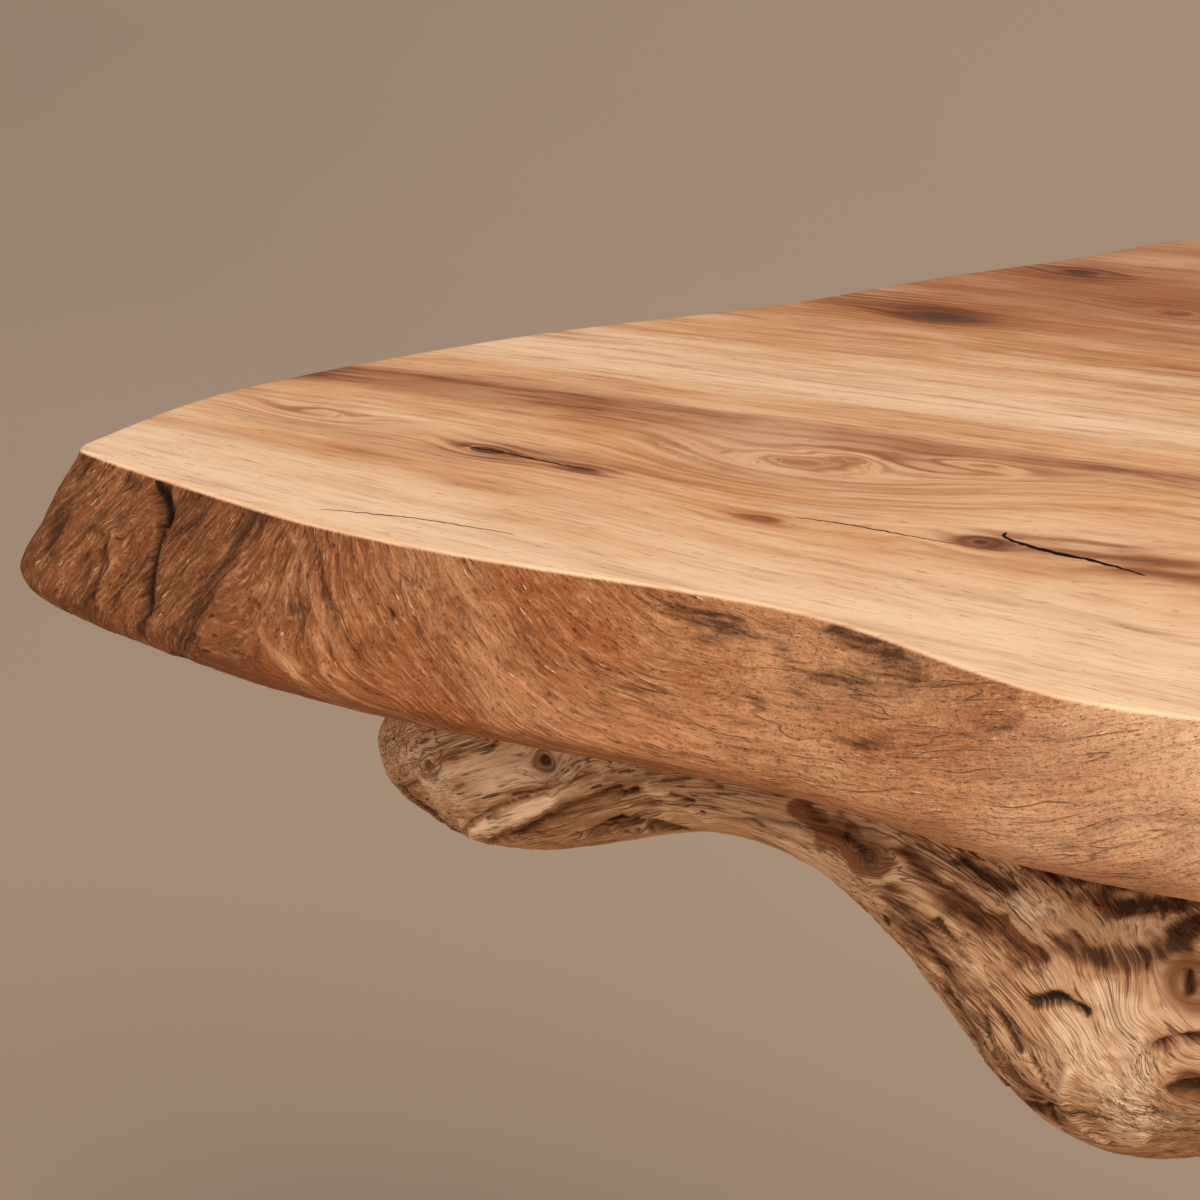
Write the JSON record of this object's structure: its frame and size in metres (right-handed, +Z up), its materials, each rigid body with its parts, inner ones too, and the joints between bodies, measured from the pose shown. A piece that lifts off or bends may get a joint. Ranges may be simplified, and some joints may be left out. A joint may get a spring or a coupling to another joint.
{
  "type": "driftwood console table",
  "caption": "Console table with a thick live-edge slab top on a base of pegged driftwood limbs, planed where the slab sits.",
  "frame": {"origin": "on the floor under the middle of the table's box", "axes": "+X along the table, the pictured front looks along -Y, +Z up"},
  "size_m": [1.4031, 0.4471, 0.78],
  "materials": {
    "slab": "sanded and oiled top, scraped live edge",
    "driftwood": "bare weathered driftwood",
    "peg": "riven hardwood, oiled",
    "steel": "zinc plated",
    "glide": "dark brown nylon"
  },
  "bodies": {
    "root": {"slab_top": "slab", "trunk_beam": "driftwood", "rear_bearer": "driftwood", "front_left_leg": "driftwood", "rear_left_leg": "driftwood", "front_right_leg": "driftwood", "rear_right_leg": "driftwood", "left_stretcher": "driftwood", "right_stretcher": "driftwood", "long_stretcher": "driftwood", "front_left_brace": "driftwood", "rear_left_brace": "driftwood", "front_right_brace": "driftwood", "rear_right_brace": "driftwood", "leg_pegs": "peg", "stretcher_pegs": "peg", "brace_pegs": "peg", "lag_screws": "steel", "lag_washers": "steel", "glide_nails": "steel", "front_left_glide": "glide", "rear_left_glide": "glide", "front_right_glide": "glide", "rear_right_glide": "glide"}
  },
  "joints": []
}
